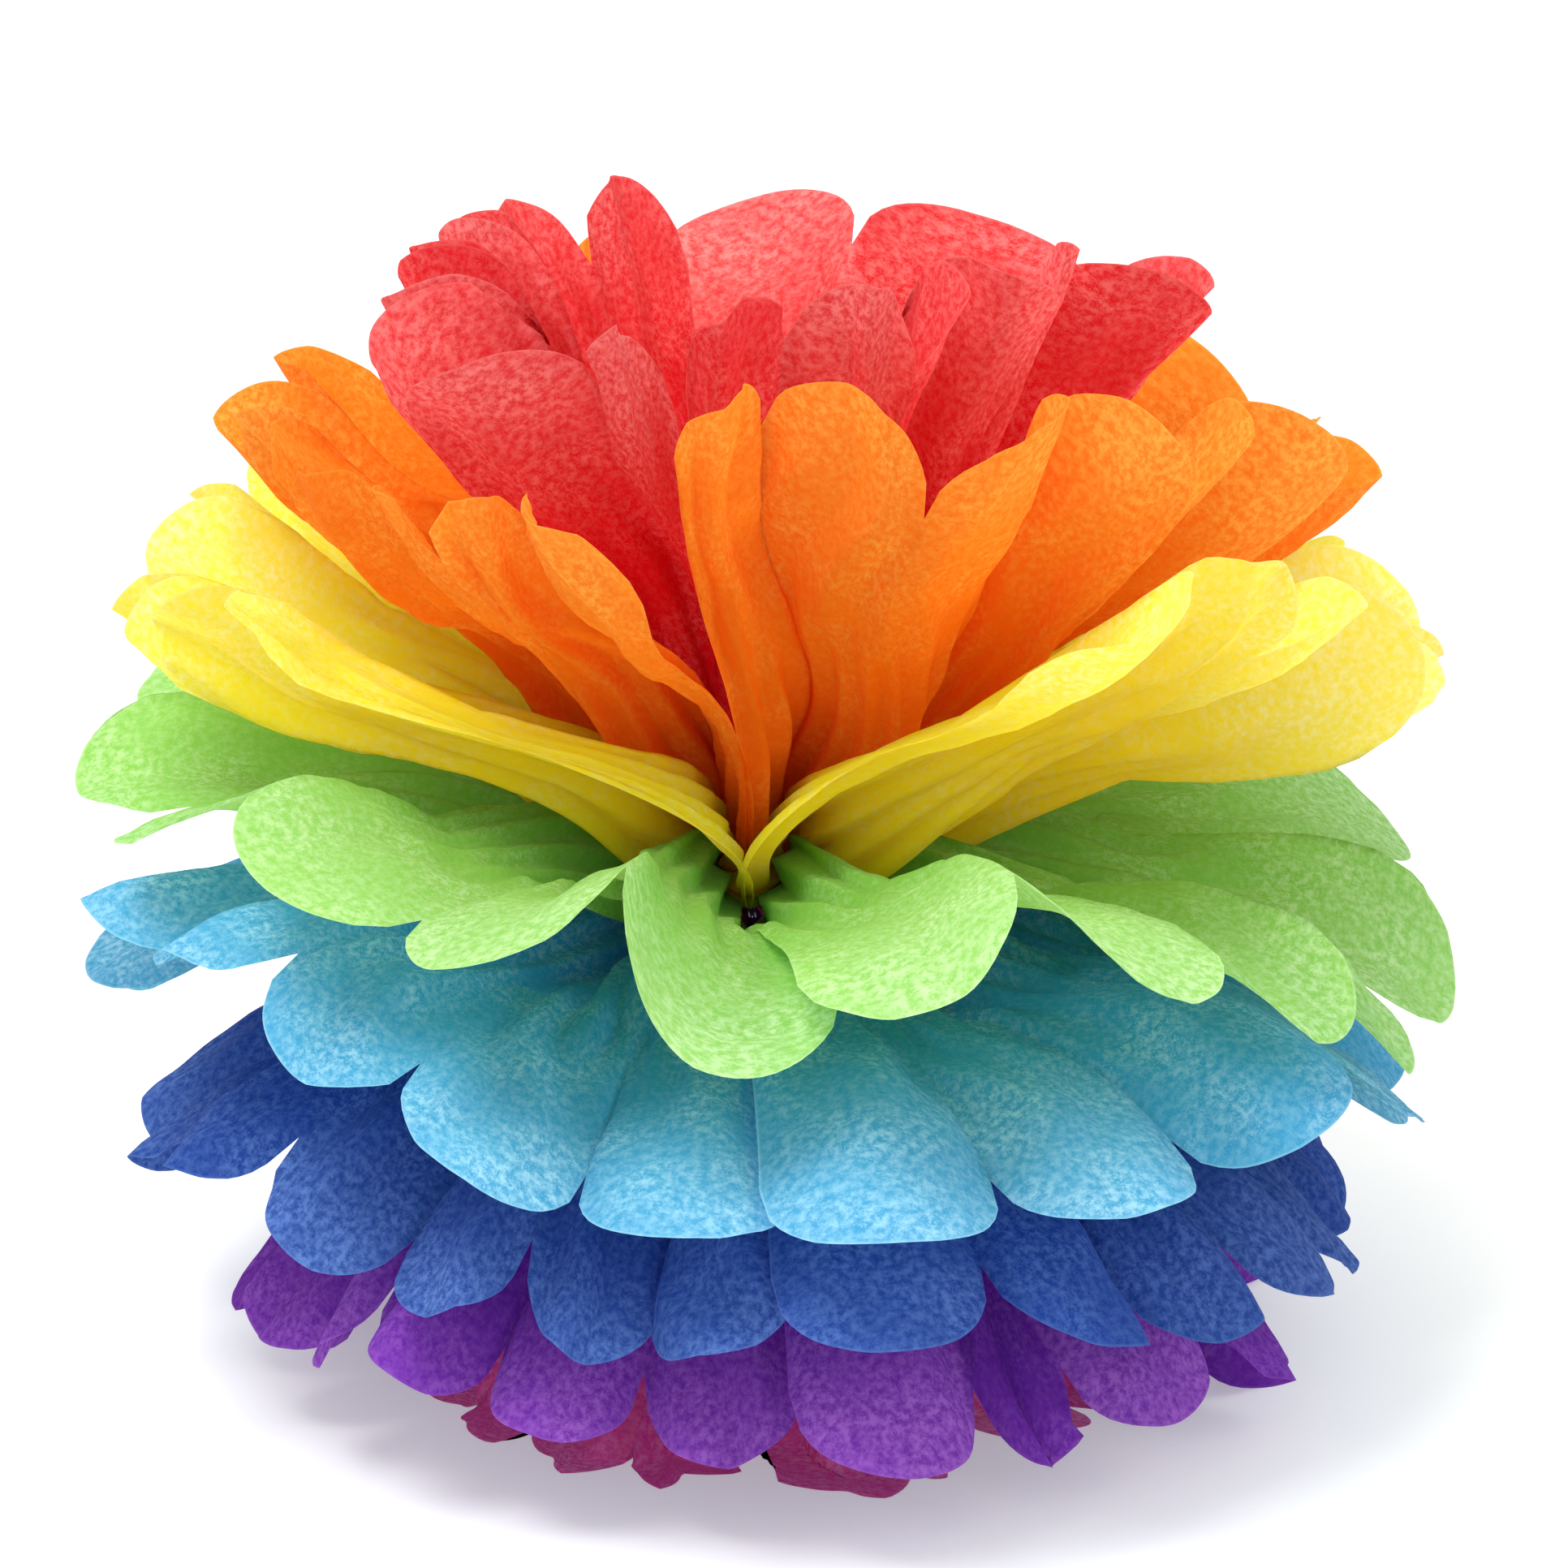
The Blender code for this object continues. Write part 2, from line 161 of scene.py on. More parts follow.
# %% Lifts of the sheets and places of their folds
SHEETS = {  # lift at the front, right, back and left, and the droop of the tips
    "red_sheet": ((57, 52, 58, 60), 0),
    "orange_sheet": ((43, 36, 46, 47), -3),
    "yellow_sheet": ((26, 20, 28, 31), -2),
    "green_sheet": ((10, 3, 7, 14), 5),
    "sky_blue_sheet": ((-8, -12, -9, -3), 5),
    "dark_blue_sheet": ((-19, -26, -22, -20), 5),
    "purple_sheet": ((-32, -38, -40, -37), 4),
    "pink_sheet": ((-58, -58, -58, -60), 0),
}
FOLDS = {
    ("red_sheet", "right"): ((-100, 58), (-83, 63), (-64, 56), (-52, 67), (-36, 58), (-20, 63),
                             (-5, 50), (14, 56), (38, 47), (72, 57), (105, 51)),
    ("red_sheet", "left"): ((-103, 60), (-119, 61), (-146, 51), (-158, 67), (-172, 58), (-182, 68),
                            (-192, 60), (-204, 68), (-211, 61), (-226, 66), (-254, 66)),
    ("orange_sheet", "right"): ((-99, 47), (-88, 52), (-69, 42), (-48, 49), (-38, 36), (-20, 44),
                                (-4, 30), (6, 34), (22, 27), (50, 42), (80, 36)),
    ("orange_sheet", "left"): ((-102, 38), (-119, 44), (-126, 38), (-138, 42), (-152, 38),
                               (-164, 45), (-178, 37), (-190, 44), (-208, 44), (-234, 54),
                               (-260, 50)),
    ("yellow_sheet", "right"): ((-62, 30), (-43, 34), (-32, 26), (-24, 29), (-14, 12), (-4, 19),
                                (4, 11), (18, 22), (34, 15), (58, 25), (82, 19)),
    ("yellow_sheet", "left"): ((-144, 27), (-152, 31), (-160, 20), (-171, 29), (-181, 22),
                               (-192, 32), (-203, 27), (-214, 36), (-228, 29), (-245, 35),
                               (-264, 27)),
    ("green_sheet", "right"): ((-84, 11), (-67, 16), (-49, 9), (-32, 5), (-16, -4), (-2, 3),
                               (11, 0), (28, 6), (46, 2), (66, 6), (89, 3)),
    ("green_sheet", "left"): ((-82, 6), (-101, 17), (-121, 11), (-142, 18), (-160, 12), (-176, 19),
                              (-192, 12), (-210, 18), (-228, 10), (-247, 14), (-269, 10)),
    ("sky_blue_sheet", "right"): ((-89, -7), (-69, -9), (-51, -8), (-33, -4), (-16, -13), (0, -19),
                                  (16, -14), (33, -10), (51, -9), (69, -11), (86, -9)),
    ("sky_blue_sheet", "left"): ((-86, -11), (-105, -12), (-121, -2), (-136, 4), (-149, 2),
                                 (-165, 2), (-178, -10), (-196, -6), (-218, -10), (-242, -7),
                                 (-266, -10)),
    ("dark_blue_sheet", "right"): ((-88, -15), (-69, -17), (-53, -22), (-38, -23), (-22, -25),
                                   (-8, -30), (8, -25), (24, -28), (44, -22), (66, -26),
                                   (88, -20)),
    ("dark_blue_sheet", "left"): ((-85, -19), (-99, -25), (-111, -18), (-126, -22), (-139, -14),
                                  (-156, -18), (-172, -25), (-190, -20), (-212, -25), (-238, -20),
                                  (-264, -24)),
    ("purple_sheet", "right"): ((-86, -28), (-66, -32), (-56, -31), (-37, -31), (-24, -40),
                                (-6, -38), (8, -46), (26, -35), (44, -41), (66, -38), (86, -45)),
    ("purple_sheet", "left"): ((-84, -32), (-102, -35), (-118, -32), (-130, -28), (-142, -35),
                               (-158, -32), (-172, -42), (-192, -45), (-214, -38), (-240, -46),
                               (-264, -38)),
    ("pink_sheet", "right"): ((-87, -64), (-66, -54), (-50, -66), (-32, -54), (-16, -64), (0, -58),
                              (18, -64), (34, -47), (52, -64), (68, -54), (84, -64)),
    ("pink_sheet", "left"): ((-92, -62), (-110, -56), (-128, -66), (-144, -56), (-162, -66),
                             (-180, -56), (-198, -66), (-214, -56), (-230, -64), (-248, -56),
                             (-264, -64)),
}

# %% The shape of the fan
WAIST_PITCH = 0.0020
WAIST_RELIEF = 0.0010
SHEET_STEP = 0.0013
EDGE_AZIMUTH = 91.0
TIE_SPREAD = 0.60
FAN_REACH = 0.026
RISE_REACH = 0.016
PLEAT_REACH = 0.030
PETAL_START = 0.040
PETAL_END = 0.095
PAPER_FILL = 0.66
BULGE = 0.0045
DROOP_START = 0.080
THICKNESS = 0.0002
FLOOR_STEP = 0.0011
LIP_START = 0.035
LIP_FADE = 0.060
HANGING_LIPS = {  # a front edge that sags: how wide, in panels, and how far it hangs
    ("green_sheet", "right"): (0.45, Vector((-0.003, 0, -0.004))),
}


def smooth(value):
    """A value from 0 to 1 that starts and ends gently."""
    value = min(1.0, max(0.0, value))
    return value * value * (3 - 2 * value)


def direction(azimuth, lift):
    """The direction of an azimuth and a lift above level, both in degrees."""
    a = math.radians(azimuth)
    e = math.radians(lift)
    return Vector((math.cos(e) * math.cos(a), math.cos(e) * math.sin(a), math.sin(e)))


def above(azimuth, lift):
    """The direction that points off the upper side of a sheet."""
    return direction(azimuth, lift + 90)


def mean_lift(name, azimuth):
    """The sheet's lift round the pom pom, through its four given lifts."""
    front, right, back, left = SHEETS[name][0]
    a = math.radians(azimuth)
    level = (front + right + back + left) / 4
    oval = (right + left - front - back) / 4
    return (level + (right - left) / 2 * math.cos(a) + (back - front) / 2 * math.sin(a)
            + oval * math.cos(2 * a))


def side_shift(side):
    """How much further from the tie this side's ends are: the wire isn't quite in the middle."""
    return TIE_SHIFT if side == "right" else -TIE_SHIFT


def sheet_end(side, across):
    """Reach of the round cut end: a half ellipse on each panel."""
    part = across - math.floor(across)
    return NOTCH + side_shift(side) + ROUND_DEPTH * math.sqrt(max(0.0, 1 - (2 * part - 1) ** 2))


def fold_place(name, side, across):
    """Azimuth and lift between the folds that were pulled to their places."""
    places = FOLDS[name, side]
    first = min(len(places) - 2, int(across))
    part = across - first
    near, far = places[first], places[first + 1]
    return near[0] + (far[0] - near[0]) * part, near[1] + (far[1] - near[1]) * part


def pleated_place(name, side, across, reach, start, tilt):
    """Where a point lies while all the sheets are still in the same pleats."""
    opening = TIE_SPREAD + (1 - TIE_SPREAD) * smooth(reach / FAN_REACH)
    azimuth = (2 * across / PANELS - 1) * EDGE_AZIMUTH * opening
    if side == "left":
        azimuth = 180 - azimuth
    lift = mean_lift(name, azimuth) * (1 - math.exp(-reach / RISE_REACH))
    panel_angle = math.radians(2 * EDGE_AZIMUTH / PANELS)
    arc = WAIST_PITCH + reach * panel_angle * math.cos(math.radians(lift))
    relief = math.sqrt(max(0.0, (PAPER_FILL * PANEL) ** 2 - arc ** 2)) / 2
    height = (relief - WAIST_RELIEF) * smooth(reach / PLEAT_REACH)
    return start + reach * direction(azimuth, lift) + height * tilt * above(azimuth, lift)


def petal_place(name, side, across, reach, start, part, outward):
    """Where a point lies once each petal goes its own way."""
    azimuth, lift = fold_place(name, side, across)
    tip = max(0.0, reach - DROOP_START) / (SHEET_LENGTH / 2 - DROOP_START)
    lift -= SHEETS[name][1] * tip * tip
    round_out = outward * BULGE * math.sin(math.pi * part) * reach / NOTCH
    return start + reach * direction(azimuth, lift) + round_out * above(azimuth, lift)


def sheet_place(name, side, across, reach):
    """A point of a flat sheet, carried to its place in the opened pom pom."""
    names = list(SHEETS)
    order = (len(names) - 1) / 2 - names.index(name)
    panel = min(PANELS - 1, int(across))
    part = across - panel
    tilt = (1 if panel % 2 else -1) * (1 - 2 * part)
    along = (across - PANELS / 2) * WAIST_PITCH
    start = WAIST + Vector((0, along, order * SHEET_STEP + tilt * WAIST_RELIEF))
    pleated = pleated_place(name, side, across, reach, start, tilt)
    petal = petal_place(name, side, across, reach, start, part, -1 if order > 0 else 1)
    placed = pleated.lerp(petal, smooth((reach - PETAL_START) / (PETAL_END - PETAL_START)))
    if (name, side) in HANGING_LIPS:
        width, hang = HANGING_LIPS[name, side]
        loose = max(0.0, 1 - across / width) ** 1.5
        placed += hang * loose * smooth((reach - LIP_START) / LIP_FADE)
    return placed


def floor_level(name):
    """The lowest that the middle of a sheet may lie: on the table, one sheet above the other."""
    names = list(SHEETS)
    return THICKNESS / 2 + (len(names) - 1 - names.index(name)) * FLOOR_STEP


front_tip = sheet_place("sky_blue_sheet", "right", 0.5, SHEET_LENGTH / 2)
print("tip of a front petal:", tuple(round(value, 3) for value in front_tip))

# %% [markdown]
# ## Fine pleats and crumples
#
# A panel keeps its 35 mm of paper all the way to the wire, where there is hardly room for it. What
# is too much gathers in small lengthwise wrinkles: deep ones near the wire, shallow ones towards
# the tips. All the sheets were pleated together, so near the wire they have the same wrinkles.
# Further out each sheet has wrinkles and crumples of its own. Noise from the place on the flat
# sheet gives them, so that they belong to the paper and every run makes the same pom pom. Odd
# numbers such as 5.1 and 11.3 only pick a place in the noise for each sheet and petal.

# %% Wrinkles along the pleats
WRINKLE_NEAR = 0.95
WRINKLE_STEEPEST = 1.6
WRINKLE_FAR = 0.45
WRINKLE_FADE = (0.045, 0.100)
WRINKLE_LENGTH = 0.030
WAVES_NEAR = 3
WAVES_FAR = 1.8
PANEL_END = 0.9999  # just before the next panel starts
PRESSED = {"pink_sheet": 2.3, "purple_sheet": 1.3}  # the lowest sheets are squashed by the others


def zigzag(turn):
    """A wave with straight sides and sharp turns, as creases in paper have."""
    return 2 / math.pi * math.asin(math.sin(2 * math.pi * turn))


def panel_width(name, side, panel, reach):
    """How far apart the two folds of a panel are."""
    near = sheet_place(name, side, panel, reach)
    far = sheet_place(name, side, panel + PANEL_END, reach)
    return (far - near).length


def wrinkle(name, side, panel, part, reach, width):
    """Height of the lengthwise wrinkles that take up what a panel has too much of."""
    spare = min(2.0, max(1.0, PANEL / width))
    steep = math.sqrt(2 * (spare ** 2 - 1))
    fade = smooth((reach - WRINKLE_FADE[0]) / (WRINKLE_FADE[1] - WRINKLE_FADE[0]))
    seed = Vector((panel * 5.1, (0 if side == "left" else 40) + reach / WRINKLE_LENGTH, 0))
    waves = WAVES_NEAR + (panel * 7 + (3 if side == "left" else 0)) % 2
    near = zigzag(part * waves + 0.5 * noise.noise(seed))
    pressed = PRESSED.get(name, 1.0)
    near *= (1 - fade) * min(WRINKLE_STEEPEST, WRINKLE_NEAR * steep) * pressed ** 0.4 / waves
    seed.z = 3.7 * (1 + list(SHEETS).index(name))
    far = zigzag(part * WAVES_FAR + 0.9 * noise.noise(seed))
    far *= fade * WRINKLE_FAR * steep * pressed / WAVES_FAR
    held = min(1.0, 4 * math.sin(math.pi * min(1.0, max(0.0, part))))
    return held * width / (2 * math.pi) * (near + far)


# %% Crumples and billows
BILLOW = 0.0022
BILLOW_SIZE = 0.045
CRUMPLE = 0.0019
CRUMPLE_SIZE = 0.017
CRUMPLE_LONG = 1.6
CRUMPLE_START = 0.02
CRUMPLE_FADE = 0.06
SMALL_CRUMPLE = 0.22
SMALLER = 2.3


def crumple(name, u, v):
    """Height of the folds and dents of handled paper, from the place on the flat sheet."""
    own = list(SHEETS).index(name) * 11.3
    billow = noise.noise(Vector((u / BILLOW_SIZE, v / BILLOW_SIZE, own)))
    dent = Vector((u / CRUMPLE_SIZE, v / (CRUMPLE_LONG * CRUMPLE_SIZE), own))
    near, far = noise.voronoi(dent)[0][:2]
    small_dent = Vector((u / CRUMPLE_SIZE, v / CRUMPLE_SIZE, own + 5)) * SMALLER
    small_near, small_far = noise.voronoi(small_dent)[0][:2]
    height = BILLOW * billow + CRUMPLE * (far - near)
    height += SMALL_CRUMPLE * CRUMPLE * (small_far - small_near)
    return smooth((abs(v) - CRUMPLE_START) / CRUMPLE_FADE) * height


print("crumple at one place:", round(crumple("red_sheet", 0.1, 0.1) * 1000, 2), "mm")

# %% [markdown]
# ## Petals with a will of their own
#
# On the real thing no two petals curl alike: one tip bends in, the next one out, one is cupped like
# a spoon. Each petal gets a curl and a cup from its number, and one petal gets its cup by name,
# because the photograph shows it clearly.

# %% Curl and cup of the petals
CURL_START = 0.070
CURL = 0.005
CUP = 0.004
CUPS = {("green_sheet", "left", 0): -0.011}  # the loose front petal is a deep spoon
FOR_CURL, FOR_CUP, FOR_TIP_LIGHT = 1, 2, 3


def own_value(name, side, panel, what):
    """A number from -1 to 1 that belongs to one petal and one use."""
    sheet_number = list(SHEETS).index(name)
    side_number = 9.5 if side == "left" else 0
    place = Vector((sheet_number * 2.31 + 0.5, panel * 1.73 + 0.5, what * 3.19 + side_number))
    return max(-1.0, min(1.0, 2.2 * noise.noise(place)))


def petal_bend(name, side, panel, part, reach):
    """Height that a petal's own curl and cup add."""
    tip = max(0.0, reach - CURL_START) / (SHEET_LENGTH / 2 - CURL_START)
    middle = math.sin(math.pi * min(1.0, max(0.0, part)))
    curl = CURL * own_value(name, side, panel, FOR_CURL) * tip * tip * middle ** 0.5
    own_cup = CUPS.get((name, side, panel), CUP * own_value(name, side, panel, FOR_CUP))
    cup = own_cup * min(1.0, tip * 1.5) * middle
    return curl + cup


print("own curl of one petal:", round(own_value("red_sheet", "left", 3, FOR_CURL), 2))

# %% [markdown]
# ## Single layers and painted light at the tips
#
# Near the wire many layers lie on each other, and the colour is deep. At the tips a petal is often
# alone, and light shines through it. That light is painted: the tips get a paler, clouded colour.
# How much painted light each point gets becomes a value of the mesh.

# %% Painted light at the petal tips
TIP_LIGHT_START = 0.070
TIP_LIGHT_MOST = 0.75
TIP_LIGHT_LEAST = 0.25


def painted_tip_light(name, side, across, reach):
    """Painted light shining through a lone petal: how much paler its colour is, most at the tips."""
    panel = min(PANELS - 1, int(across))
    own = 0.5 + 0.5 * own_value(name, side, panel, FOR_TIP_LIGHT)
    tip = smooth((reach - TIP_LIGHT_START) / (SHEET_LENGTH / 2 - TIP_LIGHT_START))
    return TIP_LIGHT_MOST * (TIP_LIGHT_LEAST + (1 - TIP_LIGHT_LEAST) * own) * tip


print("one petal's tip is pale by", round(painted_tip_light("sky_blue_sheet", "left", 6.5, 0.12), 2))

# %% [markdown]
# ## Making a sheet
#
# A grid stands for the flat sheet. Its rows follow the round cut near the ends, so that the edge is
# smooth. Each point is carried to its place first; then the surface knows which way it faces, and
# the wrinkles, crumples and curls are raised from it. The flat place is kept as the sheet's own UV
# map, because the fibres of the paper follow the paper and not the room.

# %% Grid of a sheet
COLUMNS = 24
ROWS = 64
ROW_BEND = 7


def row_reach(side, row, across):
    """Reach of a row: even near the wire, along the round cut at the end."""
    share = row / ROWS
    notch = NOTCH + side_shift(side)
    return notch * share + (sheet_end(side, across) - notch) * share ** ROW_BEND


def flat_places(bm):
    """For each point of the grid: side, across and row."""
    places = []
    for vert in bm.verts:
        row = round(vert.co.x * ROWS)
        across = round((vert.co.y + 1) / 2 * PANELS * COLUMNS) / COLUMNS
        places.append(("left" if row < 0 else "right", across, abs(row)))
    return places


def make_paper(name):
    """One sheet of tissue as a mesh object."""
    bm = bmesh.new()
    uv_layer = bm.loops.layers.uv.new("flat")
    rim_layer = bm.verts.layers.float.new("rim")
    tip_light_layer = bm.verts.layers.float.new("tip_light")
    bmesh.ops.create_grid(bm, x_segments=2 * ROWS, y_segments=PANELS * COLUMNS, size=1)
    bm.verts.ensure_lookup_table()
    places = flat_places(bm)
    flat = []
    for vert, (side, across, row) in zip(bm.verts, places):
        reach = row_reach(side, row, across)
        flat.append((across * PANEL, reach if side == "right" else -reach))
        edge = min(across, PANELS - across) * PANEL
        # distance to the cut edge, for the painted highlight along the edge
        vert[rim_layer] = min(sheet_end(side, across) - reach, edge)
        # painted light at the tip, kept as a value of the mesh
        vert[tip_light_layer] = painted_tip_light(name, side, across, reach)
        vert.co = sheet_place(name, side, across, reach)
    for face in bm.faces:
        for loop in face.loops:
            loop[uv_layer].uv = flat[loop.vert.index]
    bm.normal_update()
    raise_paper(name, bm, places, flat)
    mesh = bpy.data.meshes.new(name)
    bm.to_mesh(mesh)
    bm.free()
    mesh.shade_smooth()
    made = bpy.data.objects.new(name.replace("_sheet", "_paper"), mesh)
    bpy.context.scene.collection.objects.link(made)
    return made


def raise_paper(name, bm, places, flat):
    """Lifts the wrinkles, crumples and curls off the smooth sheet."""
    widths = {}
    low = floor_level(name)
    for vert, (side, across, row), (u, v) in zip(bm.verts, places, flat):
        panel = min(PANELS - 1, int(across))
        part = across - panel
        key = side, panel, row
        if key not in widths:
            widths[key] = panel_width(name, side, panel, abs(v))
        height = wrinkle(name, side, panel, part, abs(v), widths[key])
        height += crumple(name, u, v) + petal_bend(name, side, panel, part, abs(v))
        vert.co += height * vert.normal
        vert.co.z = max(vert.co.z, low)


papers = {name: make_paper(name) for name in SHEETS}
for name, paper in papers.items():
    area = sum(face.area for face in paper.data.polygons)
    share = round(area / CUT_AREA * 100)
    print(paper.name, len(paper.data.polygons), "faces,", share, "% of the flat sheet")

# %% [markdown]
# ## Tissue paper
#
# Tissue is a thin felt of dyed fibres. Held against the light it is cloudy: thick and thin spots a
# millimetre or two across, with single pale fibres between them. Light shines through it, so a
# petal with light behind it glows, and where several layers lie behind each other the colour turns
# deep. The clouds, fibres and small creases come from one shader group that every colour shares.
# The group reads the flat place, so that the pattern lies in the paper. The group also paints light
# into the colour: a painted highlight along the cut edges, and painted light that makes the petal
# tips paler. Each colour then has a material of its own, with part of the light let through by a
# Translucent shader.

# %% The group with clouds, fibres and creases
tissue = bpy.data.node_groups.new("tissue fibres", "ShaderNodeTree")
tissue.interface.new_socket("Deep", in_out="INPUT", socket_type="NodeSocketColor")
tissue.interface.new_socket("Pale", in_out="INPUT", socket_type="NodeSocketColor")
tissue.interface.new_socket("Shift", in_out="INPUT", socket_type="NodeSocketFloat")
tissue.interface.new_socket("Paleness", in_out="INPUT", socket_type="NodeSocketFloat")
tissue.interface.new_socket("Colour", in_out="OUTPUT", socket_type="NodeSocketColor")
tissue.interface.new_socket("Height", in_out="OUTPUT", socket_type="NodeSocketFloat")


def add(tree, kind, **values):
    """A node in a tree, with its settings and the values of its inputs."""
    node = tree.nodes.new(kind)
    for key, value in values.items():
        if key in node.inputs:
            node.inputs[key].default_value = value
        else:
            setattr(node, key, value)
    return node


def remap(tree, value, low, high, to_low, to_high):
    """Takes a value from one range to another, held at both ends."""
    node = tree.nodes.new("ShaderNodeMapRange")
    for place, number in enumerate((low, high, to_low, to_high), 1):
        node.inputs[place].default_value = number
    tree.links.new(value, node.inputs[0])
    return node.outputs[0]


def sums(tree, operation, first, second):
    """One sum of two values or sockets."""
    node = tree.nodes.new("ShaderNodeMath")
    node.operation = operation
    for place, value in enumerate((first, second)):
        if isinstance(value, (int, float)):
            node.inputs[place].default_value = value
        else:
            tree.links.new(value, node.inputs[place])
    return node.outputs[0]


def blend_colours(tree, amount, first, second):
    """A mix of two colours."""
    node = tree.nodes.new("ShaderNodeMix")
    node.data_type = "RGBA"
    tree.links.new(amount, node.inputs[0])
    for place, value in ((6, first), (7, second)):
        if isinstance(value, tuple):
            node.inputs[place].default_value = value
        else:
            tree.links.new(value, node.inputs[place])
    return node.outputs[2]


group_in = tissue.nodes.new("NodeGroupInput")
group_out = tissue.nodes.new("NodeGroupOutput")
flat_map = add(tissue, "ShaderNodeUVMap", uv_map="flat")
place = add(tissue, "ShaderNodeVectorMath", operation="ADD")
tissue.links.new(flat_map.outputs[0], place.inputs[0])
tissue.links.new(group_in.outputs["Shift"], place.inputs[1])
clouds = add(tissue, "ShaderNodeTexNoise", noise_dimensions="2D", Scale=620.0, Detail=3.0,
             Roughness=0.68)
patches = add(tissue, "ShaderNodeTexNoise", noise_dimensions="2D", Scale=70.0, Detail=1.0,
              Roughness=0.5)
fibres = add(tissue, "ShaderNodeTexNoise", noise_dimensions="2D", Scale=1500.0, Detail=1.0,
             Roughness=0.7, Distortion=1.6)
creases = add(tissue, "ShaderNodeTexVoronoi", voronoi_dimensions="2D",
              feature="DISTANCE_TO_EDGE", Scale=120.0)
for texture in (clouds, patches, fibres, creases):
    tissue.links.new(place.outputs[0], texture.inputs["Vector"])
cloud_part = remap(tissue, clouds.outputs[0], 0.42, 0.68, 0, 1)
fibre_part = remap(tissue, fibres.outputs[0], 0.55, 0.72, 0, 1)
patch_part = remap(tissue, patches.outputs[0], 0.35, 0.7, 0.25, 1)
thin = sums(tissue, "MULTIPLY", sums(tissue, "MAXIMUM", cloud_part, fibre_part), patch_part)
# Painted highlight: the colour turns pale within about half a millimetre of the cut edges.
rim = add(tissue, "ShaderNodeAttribute", attribute_name="rim")
painted_edge_highlight = remap(tissue, rim.outputs["Fac"], 0.0001, 0.0006, 0.7, 0)
thin_spots_and_edge_highlight = sums(tissue, "MAXIMUM", thin, painted_edge_highlight)
pale_spots_and_painted_light = sums(tissue, "MULTIPLY", thin_spots_and_edge_highlight, group_in.outputs["Paleness"])
# Painted light: the petal tips turn paler, as if light shone through a single layer.
tip_light = add(tissue, "ShaderNodeAttribute", attribute_name="tip_light")
tip_light_clouds = remap(tissue, clouds.outputs[0], 0.30, 0.65, 0.25, 1.0)
painted_tip_light_part = sums(tissue, "MULTIPLY", tip_light.outputs["Fac"], tip_light_clouds)
pale_spots_and_painted_light = sums(tissue, "MINIMUM", sums(tissue, "ADD", pale_spots_and_painted_light, painted_tip_light_part), 1.0)
colour = blend_colours(tissue, pale_spots_and_painted_light, group_in.outputs["Deep"], group_in.outputs["Pale"])
crease_part = remap(tissue, creases.outputs[0], 0.0, 0.30, 1, 0)
crease_height = sums(tissue, "MULTIPLY", crease_part, 0.5)
cloud_height = sums(tissue, "MULTIPLY", clouds.outputs[0], 0.35)
height = sums(tissue, "ADD", crease_height, cloud_height)
tissue.links.new(colour, group_out.inputs["Colour"])
tissue.links.new(height, group_out.inputs["Height"])
print("tissue group:", len(tissue.nodes), "nodes")

# %% The eight colours
TISSUES = {  # deep colour, pale colour (also the painted light at edges and tips), how much of the pale one shows in thin spots and at the edges
    "red": ((0.72, 0.001, 0.010), (0.95, 0.26, 0.25), 0.42),
    "orange": ((0.96, 0.20, 0.001), (1.00, 0.48, 0.08), 0.50),
    "yellow": ((1.00, 0.88, 0.006), (1.00, 1.00, 0.45), 0.50),
    "green": ((0.25, 0.61, 0.07), (0.60, 0.87, 0.40), 0.50),
    "sky_blue": ((0.03, 0.36, 0.66), (0.40, 0.76, 0.96), 0.62),
    "dark_blue": ((0.004, 0.042, 0.30), (0.16, 0.30, 0.70), 0.36),
    "purple": ((0.15, 0.012, 0.40), (0.44, 0.15, 0.68), 0.38),
    "pink": ((0.80, 0.04, 0.36), (0.98, 0.34, 0.64), 0.65),
}
LIGHT_THROUGH = 0.45
PAPER_ROUGHNESS = 0.82
PAPER_SHINE = 0.25
PATTERN_SHIFT = 0.37  # so that no two sheets have the same clouds


def tissue_material(name, shift, deep, pale, paleness):
    """Dyed tissue paper of one colour."""
    made = bpy.data.materials.new(name + " tissue")
    made.use_nodes = True
    tree = made.node_tree
    paper_shader = tree.nodes["Principled BSDF"]
    paper_shader.inputs["Roughness"].default_value = PAPER_ROUGHNESS
    paper_shader.inputs["Specular IOR Level"].default_value = PAPER_SHINE
    fibre_group = tree.nodes.new("ShaderNodeGroup")
    fibre_group.node_tree = tissue
    fibre_group.inputs["Deep"].default_value = (*deep, 1)
    fibre_group.inputs["Pale"].default_value = (*pale, 1)
    fibre_group.inputs["Shift"].default_value = shift
    fibre_group.inputs["Paleness"].default_value = paleness
    bump = add(tree, "ShaderNodeBump", Strength=0.4, Distance=0.0006)
    tree.links.new(fibre_group.outputs["Height"], bump.inputs["Height"])
    through_paper = tree.nodes.new("ShaderNodeBsdfTranslucent")
    both = add(tree, "ShaderNodeMixShader", Fac=LIGHT_THROUGH)
    tree.links.new(fibre_group.outputs["Colour"], paper_shader.inputs["Base Color"])
    tree.links.new(fibre_group.outputs["Colour"], through_paper.inputs["Color"])
    tree.links.new(bump.outputs[0], paper_shader.inputs["Normal"])
    tree.links.new(bump.outputs[0], through_paper.inputs["Normal"])
    tree.links.new(paper_shader.outputs[0], both.inputs[1])
    tree.links.new(through_paper.outputs[0], both.inputs[2])
    tree.links.new(both.outputs[0], tree.nodes["Material Output"].inputs["Surface"])
    return made


for number, (colour_name, (deep, pale, paleness)) in enumerate(TISSUES.items()):
    paper = papers[colour_name + "_sheet"]
    material = tissue_material(colour_name, PATTERN_SHIFT * number, deep, pale, paleness)
    paper.data.materials.append(material)
    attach(paper, "root")
    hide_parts(colour_name + "_sheet")
print("coloured", len(papers), "sheets")

